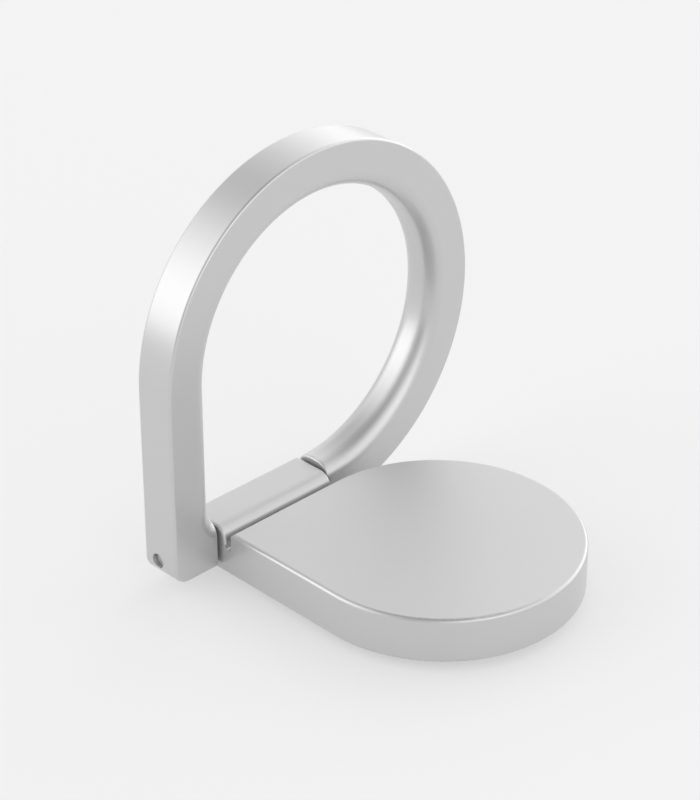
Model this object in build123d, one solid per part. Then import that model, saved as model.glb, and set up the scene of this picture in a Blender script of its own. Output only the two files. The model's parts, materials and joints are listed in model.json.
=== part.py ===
"""Phone ring holder: a teardrop base plate with a hinge barrel, a folding finger ring of the same
outline, the hinge pin that joins them and the adhesive pad that sticks the plate to a phone.

Millimetres. The origin is under the centre of the plate's round part, on the sticking face of the
pad. X runs along the hinge, Y points from that centre to the hinge and Z points away from the phone.
The ring stands upright. Turned a quarter forward, towards -Y, it lies flat round the plate, its top below
the plate's top; turned a quarter back, it lies flat behind the hinge.
"""
import os

from build123d import *

# Base plate
plate_radius = 15.0
plate_thickness = 4.9
plate_edge_round = 0.4  # round the top face
base_edge_break = 0.15  # round the underside

# Ring
fold_gap = 0.8  # between the plate's radius and that of the ring's hole
fold_step = 0.075  # how much the ring is thinner than the plate, at each face
ring_width = 5.2  # from the inner wall to the outer rim
ring_edge_round = 0.3
ring_front_round = 1.8  # inner edge on the plate's side
ring_back_round = 1.9  # inner edge on the other side
ring_corner_radius = 1.75  # outer corner beside the hinge
hole_corner_radius = 1.2  # the same corner of the hole
ring_end_round = 0.2  # edges of the ring's two ends at the barrel

# Hinge
hinge_inset = 2.0  # from the ring's outer rim to the pin's axis
pin_offset = 0.4  # from the middle of the ring's thickness back to the pin's axis
barrel_back = 1.85  # from the pin's axis to the barrel's back face
barrel_rise = 0.2  # barrel's top above the plate's top
barrel_front_round = 1.6
barrel_back_round = 0.5
barrel_end_round = 0.25
barrel_overrun = 0.1  # barrel's right end, past the plate's centre line
groove_width = 0.85  # between the plate's hinge edge and the barrel
groove_wall = 0.3  # straight wall between the barrel's front round and the groove's round bottom
side_gap = 0.28  # between the barrel's ends and the ring

# Pin
pin_diameter = 1.6
pin_clearance = 0.03  # radial, where it turns in the barrel
pin_recess = 0.45  # below the rim of the ring's corner post
pin_seat = 4.0  # length held in the ring's foot, past the barrel
pin_end_gap = 0.2
pin_chamfer = 0.15

# Adhesive pad
pad_thickness = 1.0
pad_inset = 2.0
pad_corner_radius = 2.5

# Heights
plate_bottom = pad_thickness
plate_top = plate_bottom + plate_thickness
barrel_top = plate_top + barrel_rise

# Ring sizes that follow the plate
ring_hole_radius = plate_radius + fold_gap
ring_outer_radius = ring_hole_radius + ring_width
ring_thickness = plate_thickness - 2 * fold_step

# Pin's axis: halfway up the plate, and as far below the ring's centre as the ring is behind the plate's
ring_middle_y = ring_outer_radius - hinge_inset
hinge_y = ring_middle_y + pin_offset
hinge_z = plate_bottom + plate_thickness / 2
ring_centre_z = hinge_z + ring_middle_y

# Barrel and the notch in the ring's foot that takes it
barrel_left = -plate_radius
barrel_right = barrel_overrun
barrel_front_y = plate_radius + groove_width
barrel_back_y = hinge_y + barrel_back
notch_left = barrel_left - side_gap
notch_right = barrel_right + side_gap
notch_top = ring_centre_z - ring_hole_radius + 2 * hole_corner_radius


def teardrop(radius, corner_radius=0.0):
    """Circle with one square corner at lower left: three quarters of the circle and two tangents."""
    with BuildSketch() as outline:
        with BuildLine():
            CenterArc((0, 0), radius, -90, 270)
            Polyline((-radius, 0), (-radius, -radius), (0, -radius))
        make_face()
        if corner_radius:
            corner = outline.vertices().sort_by_distance((-radius, -radius))[0]
            fillet(corner, corner_radius)
    return outline.sketch


def bar_along_x(radius, start_x, end_x, y, z):
    """Round bar parallel to the hinge, from start_x to end_x."""
    return Location(((start_x + end_x) / 2, y, z), (0, 90, 0)) * Cylinder(radius, end_x - start_x)


def end_edges(solid, x, front_y):
    """Edges behind front_y round the flat end face that lies at x."""
    faces = [face for face in solid.faces().filter_by(Axis.X) if abs(face.center().X - x) < 1e-4]
    edges = [edge for face in faces for edge in face.outer_wire().edges()]
    return [edge for edge in edges if edge.center().Y > front_y]


def make_ring():
    """Teardrop ring with a rounded inner side, notched at its foot for the barrel."""
    plane = Plane(origin=(0, ring_middle_y, ring_centre_z), x_dir=(1, 0, 0), z_dir=(0, -1, 0))
    section = teardrop(ring_outer_radius, ring_corner_radius)
    section -= teardrop(ring_hole_radius, hole_corner_radius)
    ring = extrude(plane * section, ring_thickness / 2, both=True)

    for side, radius in ((0, ring_front_round), (-1, ring_back_round)):
        face = ring.faces().filter_by(Axis.Y).sort_by(Axis.Y)[side]
        ring = fillet(face.inner_wires()[0].edges(), radius)
    sides = ring.faces().filter_by(Axis.Y)
    outer_edges = [edge for face in sides for edge in face.outer_wire().edges()]
    ring = fillet(outer_edges, ring_edge_round)

    notch_low = ring_centre_z - ring_outer_radius - ring_width
    notch_middle = ((notch_left + notch_right) / 2, ring_middle_y, (notch_low + notch_top) / 2)
    notch_size = (notch_right - notch_left, 2 * ring_thickness, notch_top - notch_low)
    ring -= Location(notch_middle) * Box(*notch_size)
    ends = end_edges(ring, notch_left, plate_radius) + end_edges(ring, notch_right, plate_radius)
    ring = fillet(ends, ring_end_round)

    bore_end = notch_right + pin_seat + pin_end_gap
    ring -= bar_along_x(pin_diameter / 2, -2 * ring_outer_radius, bore_end, hinge_y, hinge_z)
    return ring


def make_base_plate():
    """Teardrop plate and hinge barrel in one piece, parted at the top by a round-bottomed groove."""
    outline = mirror(teardrop(plate_radius), Plane.XZ)
    plate = Location((0, 0, plate_bottom)) * extrude(outline, plate_thickness)
    plate = fillet(plate.edges().group_by(Axis.Z)[-1], plate_edge_round)
    plate = fillet(plate.edges().group_by(Axis.Z)[0], base_edge_break)

    groove_radius = groove_width / 2
    groove_y = plate_radius + groove_radius
    web_front = plate_radius - base_edge_break
    web_top = barrel_top - barrel_front_round - groove_wall
    with BuildSketch(Plane(origin=(barrel_left, 0, 0), x_dir=(0, 1, 0), z_dir=(1, 0, 0))) as profile:
        with BuildLine():
            Polyline(
                (web_front, plate_bottom),
                (barrel_back_y, plate_bottom),
                (barrel_back_y, barrel_top),
                (barrel_front_y, barrel_top),
                (barrel_front_y, web_top),
                (web_front, web_top),
                close=True,
            )
        make_face()
        fillet(profile.vertices().group_by(Axis.Y)[-1].sort_by(Axis.X)[0], barrel_front_round)
        fillet(profile.vertices().group_by(Axis.Y)[-1].sort_by(Axis.X)[-1], barrel_back_round)
    barrel = extrude(profile.sketch, barrel_right - barrel_left)
    ends = end_edges(barrel, barrel_left, groove_y) + end_edges(barrel, barrel_right, groove_y)
    barrel = fillet([edge for edge in ends if edge.center().Z > plate_bottom], barrel_end_round)
    underside = barrel.edges().group_by(Axis.Z)[0]
    barrel = fillet([edge for edge in underside if edge.center().Y > plate_radius], base_edge_break)

    start_x = barrel_left - side_gap
    end_x = barrel_right + side_gap
    base = plate + barrel - bar_along_x(groove_radius, start_x, end_x, groove_y, web_top)
    base -= bar_along_x(pin_diameter / 2 + pin_clearance, start_x, end_x, hinge_y, hinge_z)
    return base


def make_hinge_pin():
    """Straight pin, chamfered at both ends."""
    pin_start = pin_recess - ring_outer_radius
    pin = bar_along_x(pin_diameter / 2, pin_start, notch_right + pin_seat, hinge_y, hinge_z)
    return chamfer(pin.edges().filter_by(GeomType.CIRCLE), pin_chamfer)


def make_adhesive_pad():
    """Foam pad under the plate, set in from its edge."""
    outline = teardrop(plate_radius - pad_inset, pad_corner_radius)
    return extrude(mirror(outline, Plane.XZ), pad_thickness)


nodes = {
    "base_plate": make_base_plate(),
    "ring": make_ring(),
    "hinge_pin": make_hinge_pin(),
    "adhesive_pad": make_adhesive_pad(),
}

os.makedirs("parts", exist_ok=True)
for name, solid in nodes.items():
    export_step(solid, f"parts/{name}.step")
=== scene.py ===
"""Phone ring holder: finishes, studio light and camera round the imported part.

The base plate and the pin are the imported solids, in bead-blasted aluminium and ground steel. The finger
ring and the foam pad are surfaces of their own. All lengths are in metres, in the part's own frame.
"""
import json
import math

import bpy
import numpy as np
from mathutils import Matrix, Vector

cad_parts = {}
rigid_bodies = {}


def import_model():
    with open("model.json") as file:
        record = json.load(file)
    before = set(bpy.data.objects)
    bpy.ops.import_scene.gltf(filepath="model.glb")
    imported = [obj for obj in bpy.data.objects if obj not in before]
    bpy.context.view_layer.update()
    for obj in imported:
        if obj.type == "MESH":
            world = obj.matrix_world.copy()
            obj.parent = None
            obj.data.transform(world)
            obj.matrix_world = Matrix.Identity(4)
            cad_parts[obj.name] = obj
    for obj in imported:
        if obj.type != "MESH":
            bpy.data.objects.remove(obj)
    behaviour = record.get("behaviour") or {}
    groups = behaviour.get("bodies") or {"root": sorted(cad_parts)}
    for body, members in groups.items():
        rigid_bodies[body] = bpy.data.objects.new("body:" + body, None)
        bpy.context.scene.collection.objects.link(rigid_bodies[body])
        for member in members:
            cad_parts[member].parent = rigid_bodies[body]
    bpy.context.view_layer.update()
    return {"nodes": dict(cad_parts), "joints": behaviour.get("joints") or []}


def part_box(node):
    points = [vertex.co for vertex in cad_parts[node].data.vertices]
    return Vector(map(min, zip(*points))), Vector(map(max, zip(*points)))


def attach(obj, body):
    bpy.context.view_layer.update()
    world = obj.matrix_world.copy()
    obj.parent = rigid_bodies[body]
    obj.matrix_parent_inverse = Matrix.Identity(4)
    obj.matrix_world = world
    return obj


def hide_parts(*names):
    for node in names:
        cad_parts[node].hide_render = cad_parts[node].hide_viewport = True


for leftover in list(bpy.data.objects):
    bpy.data.objects.remove(leftover)

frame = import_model()
scene = bpy.context.scene

MM = 0.001

# Camera, fitted to the photograph's outlines
IMAGE_HEIGHT = 800
FOCAL_PIXELS = 2611.6
SENSOR = 36.0
CAMERA_AZIMUTH = -135.445
CAMERA_ELEVATION = 30.14
CAMERA_DISTANCE = 280.81 * MM
CAMERA_TARGET = Vector((8.292, 21.415, 9.540)) * MM
CLIP_START = 0.01
CLIP_END = 20.0

# Studio light: an even surround and three broad softboxes, each given as (azimuth, elevation, sharpness,
# radiance); azimuths turn from +Y towards +X, in degrees
EVEN_LIGHT = 0.12
SOFTBOXES = (
    (-46.0, 14.0, 3.0, 2.05),
    (82.0, 3.0, 1.6, 2.2),
    (188.0, 16.0, 3.6, 1.65),
)
FLOOR_SIZE = 8.0
FLOOR_GAP = 0.02 * MM
FLOOR_ALBEDO = 0.88
FLOOR_LIFT = 0.5
FLOOR_WHITE = 0.93

# Noise runs from 0 to 1 about its middle, with scales in features per metre; tones are linear greys
NOISE_MIDDLE = 0.5

# Satin aluminium
RING_ROUGHNESS = 0.3
PLATE_ROUGHNESS = 0.5
METAL_SHARE = 0.65
PLATE_TOP = 5.9 * MM
EDGE_START = 0.01 * MM
EDGE_END = 0.05 * MM
GRAIN_SCALE = 9000.0
GRAIN_DETAIL = 2.0
GRAIN_TONES = (0.585, 0.615)
GRAIN_GLOSS = 0.04
GRAIN_BUMP = 0.05
GRAIN_DEPTH = 0.01 * MM
DRIFT_SCALE = 90.0
DRIFT_DETAIL = 3.0
DRIFT_GLOSS = 0.05

# Ground steel
STEEL_SCALE = 16000.0
STEEL_DETAIL = 2.0
STEEL_TONES = (0.50, 0.62)
STEEL_ROUGHNESS = 0.28
STEEL_ROUGHNESS_SPAN = 0.12

# Acrylic foam
CELL_SCALE = 5200.0
CELL_BUMP = 0.5
CELL_DEPTH = 0.03 * MM
MOTTLE_SCALE = 700.0
MOTTLE_DETAIL = 3.0
FOAM_TONES = (0.022, 0.045)
FOAM_ROUGHNESS = 0.75
FOAM_ROUGHNESS_SPAN = 0.15

# Finger ring, drawn from the sizes of its solid
RING_WIDTH = 5.2 * MM
RING_CORNER_RADIUS = 1.75 * MM
HOLE_CORNER_RADIUS = 1.2 * MM
RING_EDGE_ROUND = 0.3 * MM
RING_FRONT_ROUND = 1.8 * MM
RING_BACK_ROUND = 1.9 * MM
RING_END_ROUND = 0.2 * MM
FOOT_LEFT = -15.28 * MM
FOOT_RIGHT = 0.38 * MM
BORE_RADIUS = 0.8 * MM
BORE_DEPTH = 4.2 * MM
BORE_STEPS = 48
ROUND_STEPS = 8
ARC_STEPS = 180
POST_STEPS = 12
CORNER_STEPS = 24
FLAT_MARGIN = 0.03 * MM
SHARP_ANGLE = math.radians(40.0)

# Foam pad
PAD_CORNER_RADIUS = 2.5 * MM
PAD_BULGE = 0.12 * MM
PAD_EDGE_ROWS = 9
PAD_FACE_ROWS = 6
PAD_OUTLINE_STEPS = 48

# Sockets of a Mix node, whose colour inputs share their names with its other inputs
MIX_SHARE = 0
MIX_FIRST_COLOUR = 6
MIX_SECOND_COLOUR = 7
MIX_COLOUR = 2


class Value:
    """A node's output. Operators on values add Math nodes to its tree; numbers may stand on either side."""

    def __init__(self, tree, socket):
        self.tree = tree
        self.socket = socket

    def math(self, operation, first, second):
        return node(self.tree, "ShaderNodeMath", {"operation": operation}, {0: first, 1: second})

    def __add__(self, other):
        return self.math("ADD", self, other)

    def __radd__(self, other):
        return self.math("ADD", other, self)

    def __sub__(self, other):
        return self.math("SUBTRACT", self, other)

    def __rsub__(self, other):
        return self.math("SUBTRACT", other, self)

    def __mul__(self, other):
        return self.math("MULTIPLY", self, other)

    def __rmul__(self, other):
        return self.math("MULTIPLY", other, self)

    def __pow__(self, other):
        return self.math("POWER", self, other)


def node(tree, kind, settings=None, inputs=None, output=0):
    """Adds a node: its settings first, then a value, link or constant for each named or numbered input."""
    made = tree.nodes.new(kind)
    for name, setting in (settings or {}).items():
        setattr(made, name, setting)
    for name, given in (inputs or {}).items():
        if isinstance(given, Value):
            tree.links.new(given.socket, made.inputs[name])
        else:
            made.inputs[name].default_value = given
    return Value(tree, made.outputs[output]) if made.outputs else None


def grey(level):
    """A neutral colour of that linear level."""
    return (level, level, level, 1.0)


def tone_between(tree, share, tones):
    """Grey that goes from the first tone to the second as share goes from 0 to 1."""
    first, second = tones
    inputs = {MIX_SHARE: share, MIX_FIRST_COLOUR: grey(first), MIX_SECOND_COLOUR: grey(second)}
    return node(tree, "ShaderNodeMix", {"data_type": "RGBA"}, inputs, output=MIX_COLOUR)


def new_material(name):
    """A material with an empty node tree."""
    material = bpy.data.materials.new(name)
    material.use_nodes = True
    material.node_tree.nodes.clear()
    return material, material.node_tree


def finish_material(tree, shader):
    """Links a shader to the material's output."""
    node(tree, "ShaderNodeOutputMaterial", {}, {"Surface": shader})


def object_place(tree):
    """Object coordinates, which are the part's own frame."""
    return node(tree, "ShaderNodeTexCoord", output="Object")


def noise(tree, place, scale, detail):
    """Noise about 0.5, with scale in features per metre."""
    settings = {"noise_dimensions": "3D"}
    return node(tree, "ShaderNodeTexNoise", settings, {"Vector": place, "Scale": scale, "Detail": detail})


def plate_roughness(tree, place):
    """The plate's roughness: that of the ring on its edge and side, rougher on the flat top above them."""
    height = node(tree, "ShaderNodeSeparateXYZ", {}, {0: place}, output="Z")
    span = {"Value": height, "From Min": PLATE_TOP - EDGE_END, "From Max": PLATE_TOP - EDGE_START}
    flat = node(tree, "ShaderNodeMapRange", {}, span)
    return RING_ROUGHNESS + (PLATE_ROUGHNESS - RING_ROUGHNESS) * flat


def satin_aluminium(name, coarse_top):
    """Bead-blasted, clear-anodised aluminium: a fine grain, and a slow drift in gloss over the surface.

    With a coarse top it has the plate's roughness, and otherwise the ring's.
    """
    material, tree = new_material(name)
    place = object_place(tree)
    roughness = plate_roughness(tree, place) if coarse_top else RING_ROUGHNESS
    grain = noise(tree, place, GRAIN_SCALE, GRAIN_DETAIL)
    drift = noise(tree, place, DRIFT_SCALE, DRIFT_DETAIL)
    pits = {"Strength": GRAIN_BUMP, "Distance": GRAIN_DEPTH, "Height": grain}
    inputs = {
        "Base Color": tone_between(tree, grain, GRAIN_TONES),
        "Metallic": METAL_SHARE,
        "Roughness": roughness + DRIFT_GLOSS * (drift - NOISE_MIDDLE) + GRAIN_GLOSS * (grain - NOISE_MIDDLE),
        "Normal": node(tree, "ShaderNodeBump", {}, pits),
    }
    finish_material(tree, node(tree, "ShaderNodeBsdfPrincipled", {}, inputs))
    return material


def ground_steel(axis_y, axis_z):
    """Centreless-ground steel: fine rings round the pin's axis, which runs along X at (axis_y, axis_z)."""
    material, tree = new_material("ground_steel_finish")
    place = object_place(tree)
    shifted = node(
        tree, "ShaderNodeVectorMath", {"operation": "SUBTRACT"}, {0: place, 1: (0.0, axis_y, axis_z)}
    )
    flattened = node(
        tree, "ShaderNodeVectorMath", {"operation": "MULTIPLY"}, {0: shifted, 1: (0.0, 1.0, 1.0)}
    )
    radius = node(tree, "ShaderNodeVectorMath", {"operation": "LENGTH"}, {0: flattened}, output="Value")
    along = node(tree, "ShaderNodeSeparateXYZ", {}, {0: place}, output="X")
    spread = {"W": STEEL_SCALE * (radius + along), "Detail": STEEL_DETAIL}
    rings = node(tree, "ShaderNodeTexNoise", {"noise_dimensions": "1D"}, spread)
    tone = tone_between(tree, rings, STEEL_TONES)
    roughness = STEEL_ROUGHNESS + STEEL_ROUGHNESS_SPAN * rings
    inputs = {"Base Color": tone, "Metallic": 1.0, "Roughness": roughness}
    finish_material(tree, node(tree, "ShaderNodeBsdfPrincipled", {}, inputs))
    return material


def acrylic_foam():
    """Closed-cell foam tape: dark, matt, with small cells that pit the cut edge and the sticking face."""
    material, tree = new_material("acrylic_foam_finish")
    place = object_place(tree)
    spread = {"Vector": place, "Scale": CELL_SCALE}
    cells = node(tree, "ShaderNodeTexVoronoi", {"feature": "F1"}, spread, output="Distance")
    mottle = noise(tree, place, MOTTLE_SCALE, MOTTLE_DETAIL)
    tone = tone_between(tree, mottle, FOAM_TONES)
    roughness = FOAM_ROUGHNESS + FOAM_ROUGHNESS_SPAN * mottle
    pits = {"Strength": CELL_BUMP, "Distance": CELL_DEPTH, "Height": cells}
    bump = node(tree, "ShaderNodeBump", {}, pits)
    inputs = {"Base Color": tone, "Roughness": roughness, "Normal": bump}
    finish_material(tree, node(tree, "ShaderNodeBsdfPrincipled", {}, inputs))
    return material


def pale_floor():
    """Plain matt floor, lifted part of the way to white where the camera or a reflection sees it."""
    material, tree = new_material("pale_floor_finish")
    rays = ("Is Camera Ray", "Is Glossy Ray", "Is Transmission Ray")
    camera_ray, glossy_ray, through_ray = [node(tree, "ShaderNodeLightPath", output=ray) for ray in rays]
    seen = node(tree, "ShaderNodeClamp", {}, {"Value": camera_ray + glossy_ray + through_ray})
    matt = node(tree, "ShaderNodeBsdfDiffuse", {}, {"Color": grey(FLOOR_ALBEDO)})
    white = node(tree, "ShaderNodeEmission", {}, {"Color": grey(FLOOR_WHITE)})
    finish_material(tree, node(tree, "ShaderNodeMixShader", {}, {0: FLOOR_LIFT * seen, 1: matt, 2: white}))
    return material


def teardrop(radius, corner_radius, steps):
    """Outline with a rounded square corner at (-radius, +radius), once round, anticlockwise, no repeats.

    Three quarters of a circle from the top round by the right and the bottom to the left, then the tangent
    up to the corner's arc, the arc, and the tangent back to the top. Each piece has the given steps.
    """
    share = np.arange(steps) / steps
    circle = math.pi * (0.5 - 1.5 * np.arange(3 * steps) / (3 * steps))
    centre = radius - corner_radius
    corner = math.pi * (1.0 - 0.5 * share)
    x = np.concatenate(
        [
            radius * np.cos(circle),
            np.full(steps, -radius),
            corner_radius * np.cos(corner) - centre,
            -centre * (1.0 - share),
        ]
    )
    y = np.concatenate(
        [
            radius * np.sin(circle),
            centre * share,
            corner_radius * np.sin(corner) + centre,
            np.full(steps, radius),
        ]
    )
    return np.stack([x, y], axis=1)[::-1]


def closed_piece(name, rows, material):
    """Mesh of rows of points that go once round, each joined to the next, closed at both ends by a fan.

    rows has the shape (rows, points round, 3); the fans meet at the mean of the first and of the last row.
    """
    count, around = rows.shape[:2]
    vertices = np.concatenate([rows.reshape(-1, 3), rows[:1].mean(axis=1), rows[-1:].mean(axis=1)])
    here = np.arange(around)
    beside = (here + 1) % around
    starts = around * np.arange(count - 1)[:, None]
    ends = starts + around
    quads = np.stack([starts + here, starts + beside, ends + beside, ends + here], axis=2)
    first_pole = np.full(around, count * around)
    last = around * (count - 1)
    first_fan = np.stack([beside, here, first_pole], axis=1)
    last_fan = np.stack([last + here, last + beside, first_pole + 1], axis=1)
    faces = quads.reshape(-1, 4).tolist() + first_fan.tolist() + last_fan.tolist()
    mesh = bpy.data.meshes.new(name)
    mesh.from_pydata(vertices.tolist(), [], faces)
    mesh.polygons.foreach_set("use_smooth", np.ones(len(mesh.polygons), bool))
    mesh.materials.append(material)
    piece = bpy.data.objects.new(name, mesh)
    scene.collection.objects.link(piece)
    return piece


def foam_pad():
    """Die-cut foam pad: its outline is drawn in by the square of the height from the middle.

    The inset at a height is the bulge times (2 height / thickness - 1) squared, so the pad is as wide as
    its solid halfway up and narrower by the bulge at its two faces. The faces are the same outline shrunk
    to the centre.
    """
    low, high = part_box("adhesive_pad")
    radius = high.x
    thickness = high.z - low.z
    lift = np.linspace(-1.0, 1.0, PAD_EDGE_ROWS)
    edge_inset = PAD_BULGE * lift**2
    edge_height = low.z + thickness * (lift + 1.0) / 2.0
    shrink = np.linspace(0.0, 1.0, PAD_FACE_ROWS, endpoint=False)[1:]
    outline = teardrop(radius, PAD_CORNER_RADIUS, PAD_OUTLINE_STEPS)
    reach = np.concatenate([shrink, 1.0 - edge_inset / radius, shrink[::-1]])
    reach[: len(shrink)] *= 1.0 - PAD_BULGE / radius
    reach[-len(shrink):] *= 1.0 - PAD_BULGE / radius
    heights = np.concatenate([np.full(len(shrink), low.z), edge_height, np.full(len(shrink), high.z)])
    rows = np.empty((len(reach), len(outline), 3))
    rows[:, :, :2] = reach[:, None, None] * outline
    rows[:, :, 2] = heights[:, None]
    piece = closed_piece("foam_pad", rows, acrylic_foam())
    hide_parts("adhesive_pad")
    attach(piece, "base")


def unit(vectors):
    """Each row divided by its length."""
    return vectors / np.linalg.norm(vectors, axis=1, keepdims=True)


def ring_section(inset, radius, front, back):
    """Section of the ring, drawn in by the inset: a rectangle with four rounded corners, once round.

    For each point it gives the radius of the outline that passes there, the distance of that outline's
    corner from the ring's centre lines, and Y. A point of a round lies off its two sides by the round's
    radius times one less the cosine and one less the sine. A spare point at each end of a flat keeps its
    shading flat.
    """
    hole = radius - RING_WIDTH
    turn = np.linspace(0.0, math.pi / 2.0, ROUND_STEPS + 1)
    turns = np.stack([turn, turn[::-1], turn, turn[::-1]])
    rounds = np.array([RING_EDGE_ROUND, RING_FRONT_ROUND, RING_BACK_ROUND, RING_EDGE_ROUND]) - inset
    # Signs that lead from the rim or the hole, and from the front or the back, into the metal
    from_side = np.array([-1.0, 1.0, 1.0, -1.0])
    from_face = np.array([1.0, 1.0, -1.0, -1.0])
    sides = np.array([radius, hole, hole, radius]) + inset * from_side
    faces = np.array([front, front, back, back]) + inset * from_face
    reach = sides[:, None] + (from_side * rounds)[:, None] * (1.0 - np.cos(turns))
    depth = faces[:, None] + (from_face * rounds)[:, None] * (1.0 - np.sin(turns))
    points = np.stack([reach, depth], axis=2)
    before = np.roll(points[:, -1], 1, axis=0)
    after = np.roll(points[:, 0], -1, axis=0)
    lead = points[:, 0] + FLAT_MARGIN * unit(before - points[:, 0])
    tail = points[:, -1] + FLAT_MARGIN * unit(after - points[:, -1])
    points = np.concatenate([lead[:, None], points, tail[:, None]], axis=1)
    corners = np.array([radius - RING_CORNER_RADIUS, hole - HOLE_CORNER_RADIUS])[[0, 1, 1, 0]]
    corner = np.broadcast_to(corners[:, None], points.shape[:2])
    return points[:, :, 0].ravel(), corner.ravel(), points[:, :, 1].ravel()


def foot_height(reach, corner, x):
    """Z of an outline's lower side at x: its corner's arc, straight, or past the centre line its circle."""
    arc = np.sqrt((reach - corner) ** 2 - np.maximum(0.0, -corner - x) ** 2)
    circle = np.sqrt(reach**2 - np.maximum(0.0, x) ** 2)
    return reach - corner - arc - circle


def ring_path(reach, corner, start_x, end_x):
    """X and Z along each outline, from start_x low on its circle round to end_x past its corner.

    The circle goes from the foot by the right and the top to the left, then come the straight post and, by
    length, the corner's arc with what is left of the straight foot.
    """
    reach = reach[:, None]
    corner = corner[:, None]
    first = np.arcsin(start_x / reach) - math.pi / 2.0
    angle = first + (math.pi - first) * np.linspace(0.0, 1.0, ARC_STEPS + 1)
    drop = corner * np.linspace(0.0, 1.0, POST_STEPS + 1)[1:]
    bend = reach - corner
    last = np.arccos(np.clip((-corner - end_x) / bend, 0.0, 1.0))
    foot = np.maximum(0.0, corner + end_x)
    along = (bend * last + foot) * np.linspace(0.0, 1.0, CORNER_STEPS + 1)[1:]
    turn = np.minimum(along / bend, last)
    run = np.maximum(0.0, along - bend * last)
    post = np.broadcast_to(-reach, drop.shape)
    x = np.concatenate([reach * np.cos(angle), post, run - corner - bend * np.cos(turn)], axis=1)
    z = np.concatenate([reach * np.sin(angle), -drop, -corner - bend * np.sin(turn)], axis=1)
    return x.T, z.T


def ring_end(plane_x, inward, radius, front, back):
    """Rows of one end of the ring, which lies at plane_x, from its rounded edge to its flat.

    The section is drawn in by the end round's radius times one less the cosine, as it nears the plane by the
    radius times the sine. Inward is the sign that leads along X into the metal.
    """
    turns = np.linspace(0.0, math.pi / 2.0, ROUND_STEPS + 1)[1:]
    insets = np.append(RING_END_ROUND * (1.0 - np.cos(turns)), RING_END_ROUND + FLAT_MARGIN)
    places = plane_x + inward * RING_END_ROUND * (1.0 - np.append(np.sin(turns), 1.0))
    rows = []
    for inset, x in zip(insets, places):
        reach, corner, depth = ring_section(inset, radius, front, back)
        rows.append(np.stack([np.full_like(reach, x), depth, foot_height(reach, corner, x)], axis=1))
    return rows


def cut_bore(ring, start_x, pin_y, pin_z, material):
    """Cuts a round bore along X from start_x through the ring's feet: a circle carried along a straight."""
    turns = np.linspace(0.0, 2.0 * math.pi, BORE_STEPS, endpoint=False)
    circle = BORE_RADIUS * np.stack([np.zeros(BORE_STEPS), np.cos(turns), np.sin(turns)], axis=1)
    ends = np.array([[start_x, pin_y, pin_z], [FOOT_RIGHT + BORE_DEPTH, pin_y, pin_z]])
    drill = closed_piece("drill", ends[:, None] + circle, material)
    cut = ring.modifiers.new("bore", "BOOLEAN")
    cut.operation = "DIFFERENCE"
    cut.solver = "EXACT"
    cut.object = drill
    evaluated = ring.evaluated_get(bpy.context.evaluated_depsgraph_get())
    ring.data = bpy.data.meshes.new_from_object(evaluated)
    ring.modifiers.clear()
    bpy.data.objects.remove(drill)
    ring.data.set_sharp_from_angle(angle=SHARP_ANGLE)


def finger_ring(pin_y, pin_z, material):
    """Teardrop ring, open at its foot: its section carried along its outline, with rounded ends."""
    low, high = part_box("ring")
    radius = -low.x
    reach, corner, depth = ring_section(0.0, radius, low.y, high.y)
    x, z = ring_path(reach, corner, FOOT_RIGHT + RING_END_ROUND, FOOT_LEFT - RING_END_ROUND)
    middle = np.stack([x, np.broadcast_to(depth, x.shape), z], axis=2)
    right = ring_end(FOOT_RIGHT, 1.0, radius, low.y, high.y)
    left = ring_end(FOOT_LEFT, -1.0, radius, low.y, high.y)
    rows = np.concatenate([right[::-1], middle, left])
    rows[:, :, 2] += low.z + radius
    ring = closed_piece("finger_ring", rows, material)
    cut_bore(ring, -2.0 * radius, pin_y, pin_z, material)
    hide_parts("ring")
    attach(ring, "ring")


def dress(name, material):
    """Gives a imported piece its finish."""
    frame["nodes"][name].material_slots[0].material = material


def direction(azimuth, elevation):
    """Unit vector: azimuth is turned from +Y towards +X, elevation is above the floor, in degrees."""
    turn = math.radians(azimuth)
    lift = math.radians(elevation)
    return Vector((math.sin(turn) * math.cos(lift), math.cos(turn) * math.cos(lift), math.sin(lift)))


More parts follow.
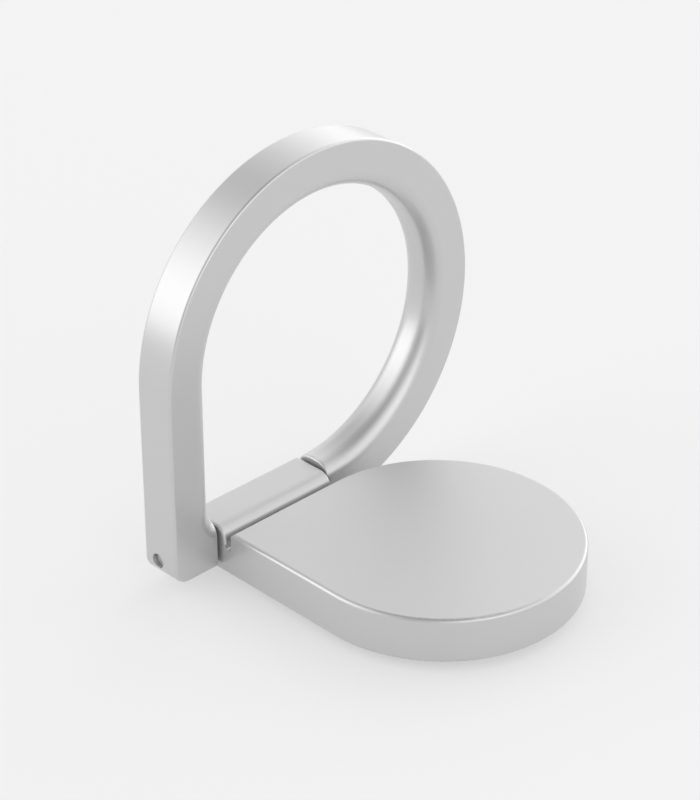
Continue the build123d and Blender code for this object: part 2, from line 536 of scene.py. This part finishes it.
def studio_world():
    """An even surround plus, for each softbox, its radiance times a power of the cosine from its middle."""
    world = bpy.data.worlds.new("studio_world")
    world.use_nodes = True
    tree = world.node_tree
    tree.nodes.clear()
    outward = node(tree, "ShaderNodeTexCoord", output="Generated")
    radiance = EVEN_LIGHT
    for azimuth, elevation, sharpness, strength in SOFTBOXES:
        inputs = {0: outward, 1: direction(azimuth, elevation)}
        cosine = node(tree, "ShaderNodeVectorMath", {"operation": "DOT_PRODUCT"}, inputs, output="Value")
        radiance = radiance + strength * node(tree, "ShaderNodeClamp", {}, {"Value": cosine}) ** sharpness
    light = node(tree, "ShaderNodeBackground", {}, {"Color": grey(1.0), "Strength": radiance})
    node(tree, "ShaderNodeOutputWorld", {}, {"Surface": light})
    scene.world = world


def floor():
    """Flat square just under the part, far larger than the view."""
    half = FLOOR_SIZE / 2.0
    mesh = bpy.data.meshes.new("floor")
    corners = ((-half, -half), (half, -half), (half, half), (-half, half))
    mesh.from_pydata([(x, y, -FLOOR_GAP) for x, y in corners], [], [(0, 1, 2, 3)])
    mesh.materials.append(pale_floor())
    plane = bpy.data.objects.new("floor", mesh)
    scene.collection.objects.link(plane)


def camera():
    """Camera at the photograph's angle; the sensor's width lies along the image's height."""
    lens = bpy.data.cameras.new("camera")
    lens.sensor_width = SENSOR
    lens.lens = SENSOR * FOCAL_PIXELS / IMAGE_HEIGHT
    lens.clip_start = CLIP_START
    lens.clip_end = CLIP_END
    holder = bpy.data.objects.new("camera", lens)
    back = direction(CAMERA_AZIMUTH, CAMERA_ELEVATION)
    holder.location = CAMERA_TARGET + CAMERA_DISTANCE * back
    holder.rotation_mode = "QUATERNION"
    holder.rotation_quaternion = back.to_track_quat("Z", "Y")
    scene.collection.objects.link(holder)
    scene.camera = holder


pin_y, pin_z = frame["joints"][0]["pos_m"][1:]
dress("base_plate", satin_aluminium("plate_aluminium", coarse_top=True))
finger_ring(pin_y, pin_z, satin_aluminium("ring_aluminium", coarse_top=False))
dress("hinge_pin", ground_steel(pin_y, pin_z))
foam_pad()

floor()
studio_world()
camera()
scene.view_settings.view_transform = "Standard"
